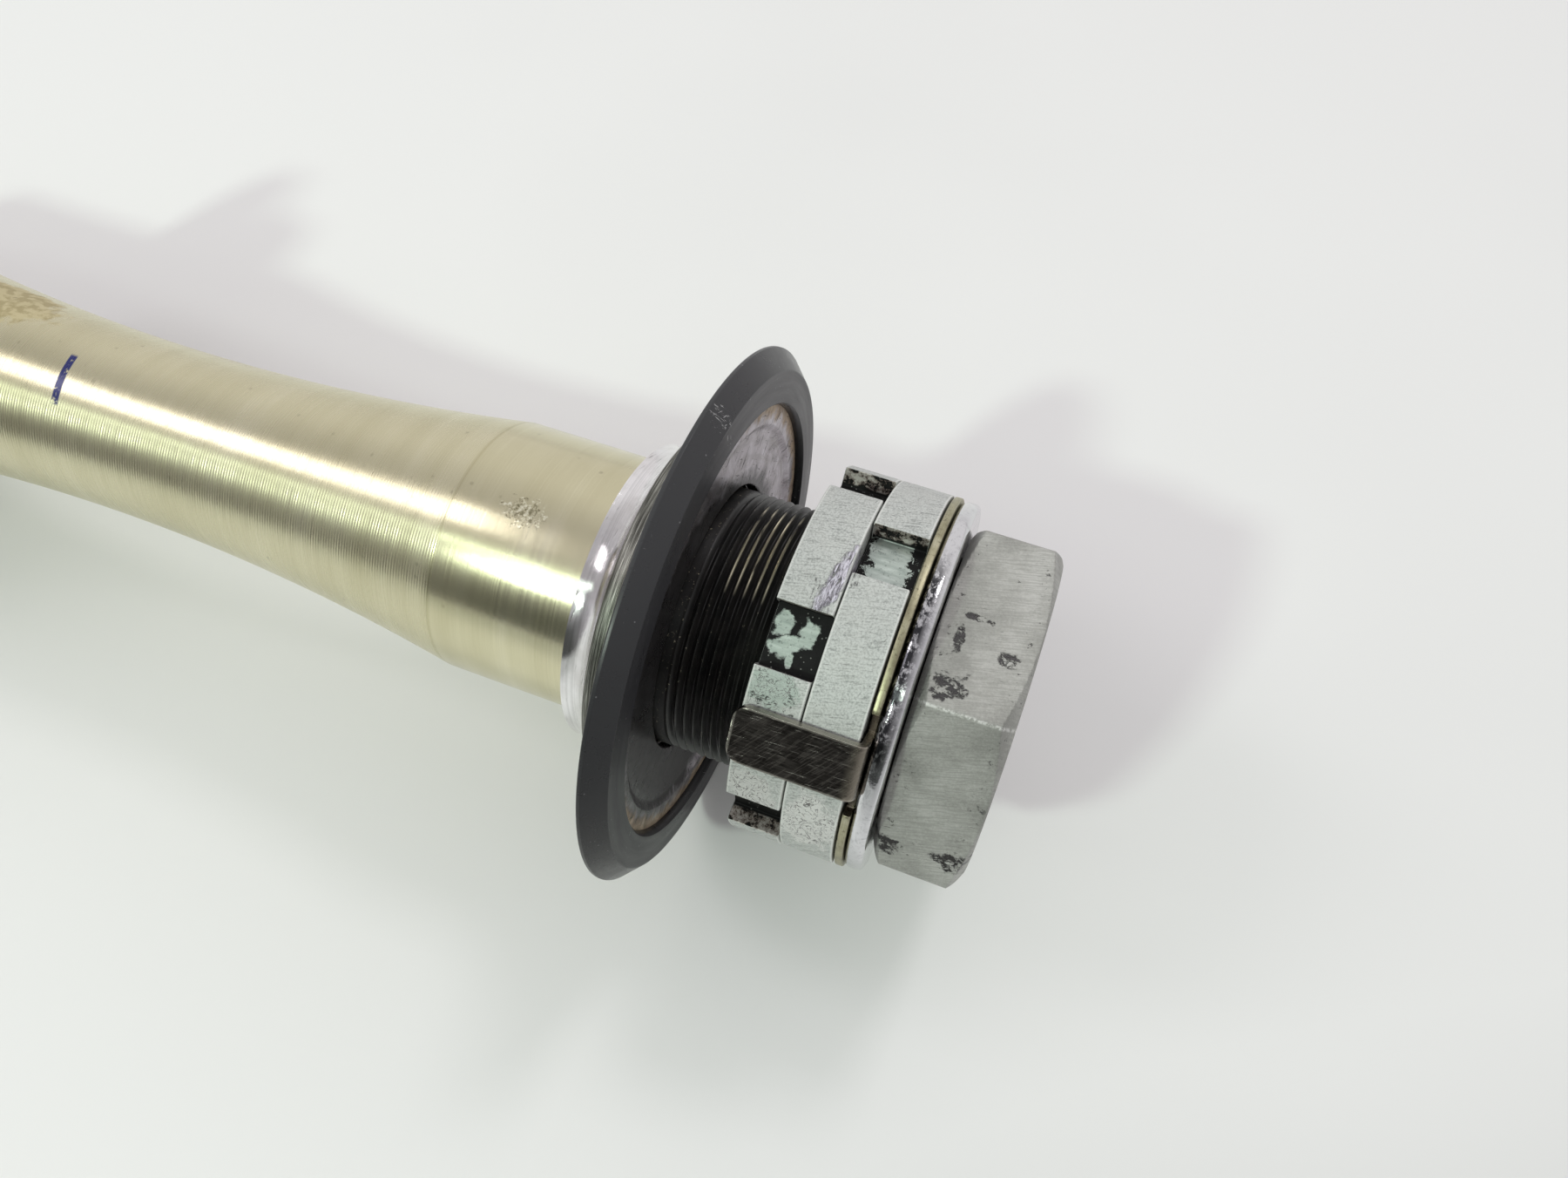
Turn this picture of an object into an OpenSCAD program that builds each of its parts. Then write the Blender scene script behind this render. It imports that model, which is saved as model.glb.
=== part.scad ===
// Steering stem: a waisted tube with its bearing races, dust cover, ring nuts, claw lock
// washer, plain washer and stem nut. The axis runs along +X, from the crown spigot to the
// stem nut. The origin is on the axis, at the shoulder that rests on the crown.
// Angles round the axis are counted from +Z towards +Y.

/* [Stem tube] */
// Radius of the spigot, of both bearing seats and of the thread's crests
seat_r = 15; // [14.5:0.05:15.2]
// Radius of the tube at the middle of its waist
waist_r = 11.2; // [10.6:0.1:13]
// Length of the waist along the axis
waist_length = 96; // [80:1:110]
// Length of the spigot below the shoulder
spigot_length = 36; // [34:1:50]
// Thickness of the shoulder flange
shoulder_t = 3; // [2:0.5:5]
// Radius of the shoulder flange
shoulder_r = 19; // [17:0.5:21]
// Distance from the shoulder's upper face to the start of the waist
lower_seat_length = 22.6; // [18:0.1:40]
// Distance from the end of the waist to the plane of the dust cover's rim
cover_offset = 26.4; // [22:0.1:40]
// Distance from the plane of the dust cover's rim to the tube's upper end
head_length = 34.9; // [34.5:0.1:36]
// Radius of the bore in the upper seat and the thread
bore_r = 8; // [7.5:0.1:9]
// Radius of the narrower bore through the waist
waist_bore_r = 7; // [5:0.1:7.4]
// Radius of the wider bore in the spigot, for a stand pin
stand_bore_r = 10.5; // [9.5:0.1:12]
// Depth of the stand pin's bore, without its chamfer
stand_bore_depth = 30; // [20:1:32]

/* [Thread] */
// Pitch of the fine thread
pitch = 1; // [0.8:0.05:1.25]
// Depth of the thread
thread_depth = 0.6; // [0.3:0.05:0.7]
// Distance from the rim plane to the first groove
thread_start = 1.6; // [1.4:0.1:3]

/* [Bearing races] */
// Axial length of a race
race_length = 8.2; // [7.5:0.1:9]
// Radius of the plain band
race_r = 20.5; // [20:0.1:21]
// Radius at the small end of the ball track
track_small_r = 17.3; // [17:0.1:17.6]
// Length of the ball track along the axis
track_length = 4; // [3.6:0.1:4.2]
// Radius of the track's hollow
track_hollow_r = 3.4; // [3.3:0.05:3.5]
// Number of balls in the lower bearing
ball_count = 16; // [12:1:16]
// Radius of a ball
ball_r = 3.175; // [3:0.025:3.2]

/* [Dust cover] */
// Radius of the rim
cover_r = 30.8; // [30:0.1:33]
// Radius of the front face's outer edge
cover_front_r = 28.8; // [28:0.1:29.5]
// Height of the front face above the rim plane
cover_front_h = 2.1; // [1.8:0.1:2.6]
// Radius of the recess that shows the steel insert
recess_r = 24.9; // [24:0.1:25.5]
// Radius of the insert's hole
insert_hole_r = 15.5; // [15.4:0.05:16]

/* [Ring nuts] */
// Outer radius of a ring nut
ring_r = 20.8; // [20:0.1:20.9]
// Thickness of a ring nut
ring_t = 5.65; // [5:0.05:5.65]
// Distance from the rim plane to the lower ring nut
ring_offset = 10.9; // [10.9:0.1:11]
// Number of spanner slots
slot_count = 6; // [4:1:8]
// Width of a spanner slot
slot_w = 6.4; // [5:0.1:7]
// Radius of a slot's floor
slot_floor_r = 18.5; // [18.3:0.1:19.5]
// Angle of a slot of the lower ring nut
lower_slot_angle = -26.6; // [-60:0.1:60]
// Angle of a slot of the upper ring nut
upper_slot_angle = -55.6; // [-60:0.1:60]

/* [Lock washer] */
// Thickness of the sheet
sheet_t = 0.8; // [0.6:0.05:0.8]
// Angle of the first claw
claw_angle = -53.8; // [-60:0.1:60]
// Width of a claw
claw_w = 6; // [5:0.1:7]
// Distance from the rim plane to the claw's tip
claw_tip_offset = 10.5; // [10.3:0.1:16]
// Width of the relief notch on each side of a claw
relief_w = 2.6; // [1.5:0.1:3]
// Radius of the relief notch's floor
relief_floor_r = 18.4; // [17.5:0.1:19]

/* [Plain washer and stem nut] */
// Radius of the plain washer
washer_r = 20.65; // [19:0.05:21]
// Thickness of the plain washer
washer_t = 2; // [1.5:0.1:2]
// Width across the nut's flats
nut_flats = 35; // [34:0.5:38]
// Length of the nut
nut_length = 9.8; // [9:0.1:10]
// Angle of a corner of the nut
nut_corner_angle = -31.3; // [-60:0.1:60]

/* [Hidden] */
$fn = 96;
eps = 0.01;
fit = 0.02;             // radial clearance of a race on its seat and of an insert in its rubber
thread_fit = 0.05;      // radial clearance of a nut's bore on the thread's crests
loose_r = seat_r + 0.4; // bore of the pieces that pass over the thread
gap = 0.1;             // axial gap between pieces that turn on each other
chamfer = 1;

waist_start = shoulder_t + lower_seat_length;
waist_end = waist_start + waist_length;
cover_x = waist_end + cover_offset;
tube_end = cover_x + head_length;
thread_x = cover_x + thread_start;
thread_turns = floor((tube_end - chamfer - thread_x) / pitch);

// The waist is one arc through both seats' edges.
waist_drop = seat_r - waist_r;
waist_arc_r = (pow(waist_length / 2, 2) + pow(waist_drop, 2)) / (2 * waist_drop);
waist_steps = 32;

// Dust cover, measured from the rim plane towards the nut.
insert_t = 1.5;
insert_front = 0.6;
insert_ring_front = 1.1;
insert_ring_r = 22.6;
insert_slope = 0.8;
cover_back = -1;       // the race's upper face
lower_rim_x = shoulder_t + insert_front;

// Ball track: the hollow's centre lies outside the chord between the track's ends.
track_large_r = race_r - 0.3;
track_chord = [track_large_r - track_small_r, track_length];
track_half = norm(track_chord) / 2;
track_rise = sqrt(pow(track_hollow_r, 2) - pow(track_half, 2));
track_centre = [track_small_r, -race_length] + track_chord / 2
    + track_rise * [track_chord[1], -track_chord[0]] / (2 * track_half);
track_from = atan2(-race_length - track_centre[1], track_small_r - track_centre[0]);
track_to = atan2(track_length - race_length - track_centre[1], track_large_r - track_centre[0]);
track_sweep = (track_to - track_from + 720) % 360 - 360;
track_steps = 14;
ball_clear = 0.12;

// Ring nuts, lock washer, plain washer and stem nut, along the axis.
lower_ring_x = cover_x + ring_offset;
ring_gap = 0.2;
upper_ring_x = lower_ring_x + ring_t + ring_gap;
lock_x = upper_ring_x + ring_t + 0.25;
washer_x = lock_x + sheet_t + gap;
nut_x = washer_x + washer_t + gap;
edge = 0.3;
seal_recess_r = 17.6;
seal_recess_t = 1;
seal_t = 1.05;

claw_in = ring_r + 0.25;
claw_bend_r = 0.3;
claw_tip_round = 1.5;

// A body turned about the axis: points are [radius, distance along the axis].
module turned(points) {
    rotate([0, 90, 0]) rotate_extrude() polygon(points);
}

// Turns what points to +Z round to an angle.
module at_angle(angle) {
    rotate([-angle, 0, 0]) children();
}

// A cylinder along the axis.
module along(x, length, r) {
    translate([x, 0, 0]) rotate([0, 90, 0]) cylinder(h = length, r = r);
}

// A flat ring with small chamfers on its outer edges.
module flat_ring(x, t, r_in, r_out, bevel) {
    turned([
        [r_in, x], [r_out - bevel, x], [r_out, x + bevel],
        [r_out, x + t - bevel], [r_out - bevel, x + t], [r_in, x + t]
    ]);
}

function waist_outline() = [
    for (i = [1 : waist_steps - 1])
        let (d = waist_length * (i / waist_steps - 0.5))
        [waist_r + waist_arc_r - sqrt(waist_arc_r * waist_arc_r - d * d),
         waist_start + waist_length / 2 + d]
];

function thread_outline() = [
    for (i = [0 : thread_turns - 1])
        let (x = thread_x + i * pitch)
        each [[seat_r, x], [seat_r - thread_depth, x + 0.38 * pitch],
              [seat_r - thread_depth, x + 0.5 * pitch], [seat_r, x + 0.88 * pitch]]
];

module stem_tube() {
    color("darkkhaki") difference() {
        turned(concat(
            [[0, -spigot_length], [seat_r - chamfer, -spigot_length],
             [seat_r, chamfer - spigot_length], [seat_r, 0],
             [shoulder_r - edge, 0], [shoulder_r, edge],
             [shoulder_r, shoulder_t - edge], [shoulder_r - edge, shoulder_t],
             [seat_r, shoulder_t], [seat_r, waist_start]],
            waist_outline(),
            [[seat_r, waist_end]],
            thread_outline(),
            [[seat_r, tube_end - chamfer], [seat_r - chamfer, tube_end], [0, tube_end]]
        ));
        along(-spigot_length - eps, spigot_length + tube_end + 2 * eps, waist_bore_r);
        along(waist_end, tube_end - waist_end + eps, bore_r);
        along(-spigot_length - eps, stand_bore_depth + chamfer + eps, stand_bore_r);
        turned([
            [0, -spigot_length - eps], [stand_bore_r + chamfer, -spigot_length - eps],
            [stand_bore_r, chamfer - spigot_length], [0, chamfer - spigot_length]
        ]);
        turned([
            [0, tube_end + eps], [bore_r + chamfer, tube_end + eps],
            [bore_r, tube_end - chamfer], [0, tube_end - chamfer]
        ]);
    }
}

// An inner race standing on the plane x = 0, with its ball track towards -X.
module inner_race() {
    turned(concat(
        [[seat_r + fit, -race_length], [track_small_r - edge, -race_length]],
        [for (i = [0 : track_steps])
            let (a = track_from + track_sweep * i / track_steps)
            track_centre + track_hollow_r * [cos(a), sin(a)]],
        [[race_r, track_length - race_length + edge], [race_r, -edge],
         [race_r - edge, 0], [seat_r + fit, 0]]
    ));
}

// Turns a piece made for the upper end round to face the lower end.
module facing_down(x) {
    translate([x, 0, 0]) mirror([1, 0, 0]) children();
}

module upper_inner_race() {
    color("lightgray") translate([cover_x + cover_back, 0, 0]) inner_race();
}

module lower_inner_race() {
    color("lightgray") facing_down(lower_rim_x - cover_back) inner_race();
}

// Puts its children at each ball's centre, for a race on the plane x = 0.
module at_balls() {
    for (i = [0 : ball_count - 1])
        at_angle(i * 360 / ball_count)
            translate([track_centre[1], 0, track_centre[0]]) children();
}

module lower_balls() {
    color("silver") facing_down(lower_rim_x - cover_back) at_balls() sphere(r = ball_r);
}

module lower_ball_cage() {
    cage_in = track_centre[0] - 1;
    cage_out = track_centre[0] + 2.3;
    cage_low = track_centre[1] - ball_r - 0.6;
    color("goldenrod") facing_down(lower_rim_x - cover_back) difference() {
        turned([
            [cage_in, cage_low], [cage_out, cage_low],
            [cage_out, track_centre[1] + 0.8], [cage_in, track_centre[1] + 0.8]
        ]);
        at_balls() sphere(r = ball_r + ball_clear);
    }
}

// The steel insert of a dust cover, with the rim plane at x = 0.
module seal_insert(hole_r) {
    turned([
        [hole_r, insert_front - insert_t], [insert_ring_r + 0.2, insert_front - insert_t],
        [insert_ring_r + insert_slope, insert_ring_front - insert_t],
        [recess_r - fit, insert_ring_front - insert_t], [recess_r - fit, insert_ring_front],
        [insert_ring_r, insert_ring_front],
        [insert_ring_r - insert_slope, insert_front], [hole_r, insert_front]
    ]);
}

// The rubber of a dust cover: a coned rim, a flat front and a sealing lip behind.
module seal_rubber() {
    turned([
        [recess_r, insert_ring_front - insert_t], [recess_r, cover_front_h],
        [cover_front_r - edge, cover_front_h], [cover_front_r, cover_front_h - edge / 2],
        [cover_r, 0.2], [cover_r, -0.1], [cover_r - 0.4, -0.35],
        [27.2, -0.8], [25.9, -1.9], [25.2, -1.9], [24.6, -1.1],
        [insert_ring_r + 0.9, -1.1],
        [insert_ring_r + 0.9, insert_ring_front - insert_t]
    ]);
}

module dust_cover_insert() {
    color("dimgray") translate([cover_x, 0, 0]) seal_insert(insert_hole_r);
}

module dust_cover_rubber() {
    color([0.1, 0.1, 0.11]) translate([cover_x, 0, 0]) seal_rubber();
}

module lower_seal_insert() {
    color("dimgray") facing_down(lower_rim_x) seal_insert(seat_r + fit);
}

module lower_seal_rubber() {
    color([0.1, 0.1, 0.11]) facing_down(lower_rim_x) seal_rubber();
}

// A ring nut that starts at x, with its spanner slots.
module ring_nut(x, slot_angle) {
    difference() {
        flat_ring(x, ring_t, seat_r + thread_fit, ring_r, edge);
        for (i = [0 : slot_count - 1])
            at_angle(slot_angle + i * 360 / slot_count)
                translate([x - 1, -slot_w / 2, slot_floor_r])
                    cube([ring_t + 2, slot_w, ring_r]);
        children();
    }
}

module lower_ring_nut() {
    color("silver") ring_nut(lower_ring_x, lower_slot_angle)
        along(lower_ring_x + ring_t - seal_recess_t, seal_recess_t + 1, seal_recess_r);
}

module rubber_washer() {
    color([0.12, 0.12, 0.12])
        flat_ring(lower_ring_x + ring_t - seal_recess_t + 0.05, seal_t,
                  loose_r, seal_recess_r - 0.3, 0.1);
}

module upper_ring_nut() {
    color("silver") ring_nut(upper_ring_x, upper_slot_angle);
}

// One claw, pointing to +Z: a tongue with round corners, and the bend to the sheet.
module claw() {
    tip_x = cover_x + claw_tip_offset;
    bend_x = lock_x - claw_bend_r;
    bend_z = claw_in - claw_bend_r;
    translate([0, 0, claw_in]) linear_extrude(sheet_t) {
        translate([tip_x + claw_tip_round, -claw_w / 2])
            square([bend_x - tip_x - claw_tip_round, claw_w]);
        translate([tip_x, claw_tip_round - claw_w / 2])
            square([2 * claw_tip_round, claw_w - 2 * claw_tip_round]);
        for (side = [-1, 1])
            translate([tip_x + claw_tip_round, side * (claw_w / 2 - claw_tip_round)])
                circle(r = claw_tip_round);
    }
    translate([bend_x, 0, bend_z]) difference() {
        rotate([90, 0, 0]) cylinder(h = claw_w, r = claw_bend_r + sheet_t, center = true);
        rotate([90, 0, 0]) cylinder(h = claw_w + 1, r = claw_bend_r, center = true);
        translate([-5, -5, -5]) cube([5, 10, 10]);
        translate([-5, -5, -5]) cube([10, 10, 5]);
    }
    translate([lock_x, -claw_w / 2, relief_floor_r - 1])
        cube([sheet_t, claw_w, bend_z - relief_floor_r + 1]);
}

module lock_washer() {
    color("gold") {
        difference() {
            turned([[loose_r, lock_x], [ring_r, lock_x],
                    [ring_r, lock_x + sheet_t], [loose_r, lock_x + sheet_t]]);
            for (turn = [0, 180], side = [-1, 1])
                at_angle(claw_angle + turn)
                    translate([lock_x - 1, side * (claw_w + relief_w) / 2 - relief_w / 2,
                               relief_floor_r])
                        cube([sheet_t + 2, relief_w, ring_r]);
        }
        for (turn = [0, 180]) at_angle(claw_angle + turn) claw();
    }
}

module plain_washer() {
    color("lightgray") flat_ring(washer_x, washer_t, loose_r, washer_r, edge);
}

module stem_nut() {
    corner_r = nut_flats / 2 / cos(30);
    face_r = nut_flats / 2 - 0.3;
    face_fall = (corner_r - face_r) * tan(25);
    bore = seat_r + thread_fit;
    color("darkgray") difference() {
        at_angle(nut_corner_angle) translate([nut_x, 0, 0]) rotate([0, 90, 0])
            cylinder(h = nut_length, r = corner_r, $fn = 6);
        for (end = [0, 1])
            translate([nut_x + end * nut_length, 0, 0]) mirror([end, 0, 0])
                turned([[face_r, -eps], [corner_r + 1, -eps],
                        [corner_r + 1, face_fall + tan(25)], [face_r, 0]]);
        along(nut_x - 1, nut_length + 2, bore);
        for (end = [0, 1])
            translate([nut_x + end * nut_length, 0, 0]) mirror([end, 0, 0])
                turned([[0, -eps], [bore + 0.5, -eps], [bore, 0.5], [0, 0.5]]);
    }
}

stem_tube();
upper_inner_race();
lower_inner_race();
lower_balls();
lower_ball_cage();
lower_seal_insert();
lower_seal_rubber();
dust_cover_insert();
dust_cover_rubber();
lower_ring_nut();
rubber_washer();
upper_ring_nut();
lock_washer();
plain_washer();
stem_nut();
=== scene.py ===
"""Looks of the steering stem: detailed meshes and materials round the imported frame.

Lengths are in millimetres and become metres as the meshes are made. The axis runs along +X
from the shoulder at 0, and most stations are counted from RIM, the plane of the dust cover's
rim. Angles round the axis are in degrees, counted from +Z towards +Y.
"""
import math

import bmesh
import bpy
from mathutils import Euler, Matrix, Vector


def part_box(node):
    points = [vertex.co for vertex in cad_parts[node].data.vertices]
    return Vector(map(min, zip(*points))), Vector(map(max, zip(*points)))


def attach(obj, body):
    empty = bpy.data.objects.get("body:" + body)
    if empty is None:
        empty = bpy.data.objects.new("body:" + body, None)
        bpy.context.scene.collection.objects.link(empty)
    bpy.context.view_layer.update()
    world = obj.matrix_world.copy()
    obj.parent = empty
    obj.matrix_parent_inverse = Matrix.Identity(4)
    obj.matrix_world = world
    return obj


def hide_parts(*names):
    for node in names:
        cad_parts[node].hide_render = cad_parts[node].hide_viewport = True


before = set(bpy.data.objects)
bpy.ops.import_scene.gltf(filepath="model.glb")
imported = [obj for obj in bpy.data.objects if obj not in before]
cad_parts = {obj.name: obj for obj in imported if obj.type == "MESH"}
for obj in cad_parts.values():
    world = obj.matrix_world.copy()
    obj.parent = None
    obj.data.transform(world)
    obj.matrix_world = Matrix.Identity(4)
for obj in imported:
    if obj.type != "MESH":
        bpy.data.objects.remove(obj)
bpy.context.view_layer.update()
scene = bpy.context.scene
MM = 0.001
TURN = 2 * math.pi


# ---------------------------------------------------------------- sizes from the frame
def span(node):
    """Lowest x, highest x and largest z of a CAD node, in millimetres."""
    low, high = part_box(node)
    return low.x / MM, high.x / MM, high.z / MM


# the two rims, from which the races, covers and nuts are placed
COVER_FRONT = 2.1
RIM = span("dust_cover_rubber")[1] - COVER_FRONT
LOWER_RIM = span("lower_seal_rubber")[0] + COVER_FRONT
RACE_INSET = 1.0

# stem tube
TUBE_LOW, TUBE_HIGH, SHOULDER_R = span("stem_tube")
SHOULDER_T = 3.0
SEAT_R = 15.0
WAIST_R = 11.2
WAIST_FROM = 25.6
WAIST_TO = 121.6
TUBE_BORE = 7.0
TOP_BORE = 8.0
STAND_BORE = 10.5
STAND_DEPTH = 31.0
THREAD_PITCH = 1.0
THREAD_DEPTH = 0.6
THREAD_FROM = RIM + 1.3
THREAD_TO = TUBE_HIGH - 1.0

# races, balls and covers
PRESS_BORE = SEAT_R + 0.02
COVER_HOLE = 15.5
BAND_R = 20.5
TRACK_SMALL_R = 17.3
BALL_R = 3.175
BALL_COUNT = 16

# ring nuts
RING_R = 20.8
NUT_BORE = SEAT_R + 0.05
RECESS_R = 17.6
RECESS_DEPTH = 1.0
RUBBER_WASHER_R = 17.3
SLOT_COUNT = 6
SLOT_W = 6.4
SLOT_FLOOR = 18.5
LOWER_SLOTS = -26.6
UPPER_SLOTS = -55.6
# bare blots in a painted slot: shift along the axis, turn from the slot, half length, half width
SPLATS = ((-1.3, 3.5, 1.0, 1.2), (1.3, 2.5, 0.9, 1.5), (-0.2, -1.0, 1.3, 0.8),
          (-0.9, -3.2, 1.2, 1.0), (0.3, -6.0, 0.35, 0.7))
NO_BARE_BAND = -9

# lock washer, plain washer and stem nut
LOOSE_BORE = SEAT_R + 0.4
SHEET_T = 0.8
CLAW_ANGLE = -53.8
CLAW_W = 6.0
RELIEF_W = 2.6
RELIEF_FLOOR = 18.4
NUT_CORNER = -31.3
NUT_FLATS = 35.0

# camera, from the point on the axis at the rim
CAMERA_PLACE = (30.66, -55.61, 106.07)
CAMERA_AZIMUTH = 21.07
CAMERA_ELEVATION = 57.94
CAMERA_LENS = 24.98


# ---------------------------------------------------------------- meshes
def smooth(obj, degrees=35):
    """Smooth shading, with edges sharper than an angle kept crisp."""
    obj.data.shade_smooth()
    obj.data.set_sharp_from_angle(angle=math.radians(degrees))
    return obj


def add_object(name, data):
    """A new object in the scene."""
    obj = bpy.data.objects.new(name, data)
    scene.collection.objects.link(obj)
    return obj


def mesh_object(name, points, faces, materials, face_materials=None):
    """An object from points in millimetres."""
    mesh = bpy.data.meshes.new(name)
    mesh.from_pydata([Vector(p) * MM for p in points], [], faces)
    for material in materials:
        mesh.materials.append(material)
    if face_materials:
        mesh.polygons.foreach_set("material_index", face_materials)
    obj = add_object(name, mesh)
    fix = bmesh.new()
    fix.from_mesh(mesh)
    bmesh.ops.recalc_face_normals(fix, faces=fix.faces)
    fix.to_mesh(mesh)
    fix.free()
    return obj


def rounded(points, steps=5):
    """An outline of (x, r, fillet) points with each fillet drawn as an arc."""
    result = []
    count = len(points)
    for i, (x, r, fillet) in enumerate(points):
        here = Vector((x, r))
        if not fillet:
            result.append((x, r))
            continue
        before = (Vector(points[i - 1][:2]) - here).normalized()
        after = (Vector(points[(i + 1) % count][:2]) - here).normalized()
        half = before.angle(after) / 2
        start = here + before * (fillet / math.tan(half))
        centre = here + (before + after).normalized() * (fillet / math.sin(half))
        arm = start - centre
        sweep = math.pi - 2 * half
        if before.cross(after) > 0:
            sweep = -sweep
        for k in range(steps + 1):
            a = sweep * k / steps
            turned = Vector((arm.x * math.cos(a) - arm.y * math.sin(a),
                             arm.x * math.sin(a) + arm.y * math.cos(a)))
            result.append(tuple(centre + turned))
    return result


def lathe(name, outline, materials, segments=256, radius_at=None):
    """A closed outline of (x, r) points turned about the axis. radius_at bends the radius."""
    points = []
    for x, r in outline:
        for k in range(segments):
            a = TURN * k / segments
            bent = radius_at(x, r, a) if radius_at else r
            points.append((x, bent * math.sin(a), bent * math.cos(a)))
    faces = []
    rows = len(outline)
    for i in range(rows):
        j = (i + 1) % rows
        for k in range(segments):
            m = (k + 1) % segments
            faces.append((i * segments + k, i * segments + m,
                          j * segments + m, j * segments + k))
    return smooth(mesh_object(name, points, faces, materials))


def facing_up(outline):
    """An outline made from a rim plane at 0 towards +X, put at the dust cover."""
    return [(RIM + x, r) for x, r in outline]


def facing_down(outline):
    """The same kind of outline, turned towards -X and put at the lower seal."""
    return [(LOWER_RIM - x, r) for x, r in outline]


def bevelled(obj, width, degrees=38, segments=2):
    """Rounds off the edges that turn by more than an angle, and keeps the faces flat."""
    work = bmesh.new()
    work.from_mesh(obj.data)
    sharp = [e for e in work.edges
             if len(e.link_faces) == 2 and e.calc_face_angle(0) > math.radians(degrees)]
    bmesh.ops.bevel(work, geom=sharp, offset=width * MM, offset_type="OFFSET",
                    segments=segments, profile=0.5, affect="EDGES", clamp_overlap=True,
                    material=-1)
    work.to_mesh(obj.data)
    work.free()
    obj.data.shade_smooth()
    obj.data.set_sharp_from_angle(angle=math.radians(60))
    weighted = obj.modifiers.new("flat_faces", "WEIGHTED_NORMAL")
    weighted.keep_sharp = True
    return obj


def slotted_ring(name, x_low, x_high, r_out, bore, slots, floor, materials):
    """A ring with slots, each (angle in degrees, width). Slot faces take material 1.

    The bore is a row of (x, r) points from the high face to the low one.
    """
    stations = []
    for angle, width in sorted(slots):
        edge = math.degrees(math.asin(width / 2 / r_out))
        root = math.degrees(math.atan(width / 2 / floor))
        corner_r = math.hypot(width / 2, floor)
        stations.append((angle - edge, r_out, 1))
        stations.append((angle - root, corner_r, 1))
        for k in range(1, 8):
            a = -root + 2 * root * k / 8
            stations.append((angle + a, floor / math.cos(math.radians(a)), 1))
        stations.append((angle + root, corner_r, 1))
        stations.append((angle + edge, r_out, 0))
    full = []
    for i, station in enumerate(stations):
        full.append(station)
        if station[2]:
            continue
        after = stations[(i + 1) % len(stations)][0]
        gap = (after - station[0]) % 360
        steps = max(2, round(gap / 1.5))
        full += [(station[0] + gap * k / steps, r_out, 0) for k in range(1, steps)]
    points, faces, kinds = [], [], []
    for angle, r, _ in full:
        a = math.radians(angle)
        for x, radius in [(x_low, r), (x_high, r)] + bore:
            points.append((x, radius * math.sin(a), radius * math.cos(a)))
    row = 2 + len(bore)
    for i, (_, _, in_slot) in enumerate(full):
        j = (i + 1) % len(full)
        for k in range(row):
            m = (k + 1) % row
            faces.append((row * i + k, row * i + m, row * j + m, row * j + k))
            kinds.append(in_slot if k == 0 else 0)
    return mesh_object(name, points, faces, materials, kinds)


def even_slots(first, count, width):
    """Slots in even steps round a ring, as angles between -180 and 180 with their width."""
    angles = [first + 360 * k / count for k in range(count)]
    return [((angle + 180) % 360 - 180, width) for angle in angles]


def joined(name, pieces):
    """One object from several, in the first one's place."""
    with bpy.context.temp_override(active_object=pieces[0], selected_editable_objects=pieces,
                                   selected_objects=pieces):
        bpy.ops.object.join()
    pieces[0].name = name
    return pieces[0]


# ---------------------------------------------------------------- materials
def on_side(angle, slope):
    """Directions along and across a slope on the side at an angle round the axis."""
    a, b = math.radians(angle), math.radians(slope)
    round_axis = (math.cos(a), -math.sin(a))
    return ((math.cos(b), math.sin(b) * round_axis[0], math.sin(b) * round_axis[1]),
            (-math.sin(b), math.cos(b) * round_axis[0], math.cos(b) * round_axis[1]))


def on_face(slope):
    """Directions along and across a slope on a face square to the axis."""
    b = math.radians(slope)
    return (0, math.cos(b), math.sin(b)), (0, -math.sin(b), math.cos(b))


def add_node(tree, kind, inputs=(), **settings):
    """A shader node whose inputs are linked to sockets or set to values."""
    node = tree.nodes.new("ShaderNode" + kind)
    for key, value in settings.items():
        setattr(node, key, value)
    for socket, value in dict(inputs).items():
        if isinstance(value, bpy.types.NodeSocket):
            tree.links.new(value, node.inputs[socket])
        else:
            node.inputs[socket].default_value = value
    return node


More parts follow.
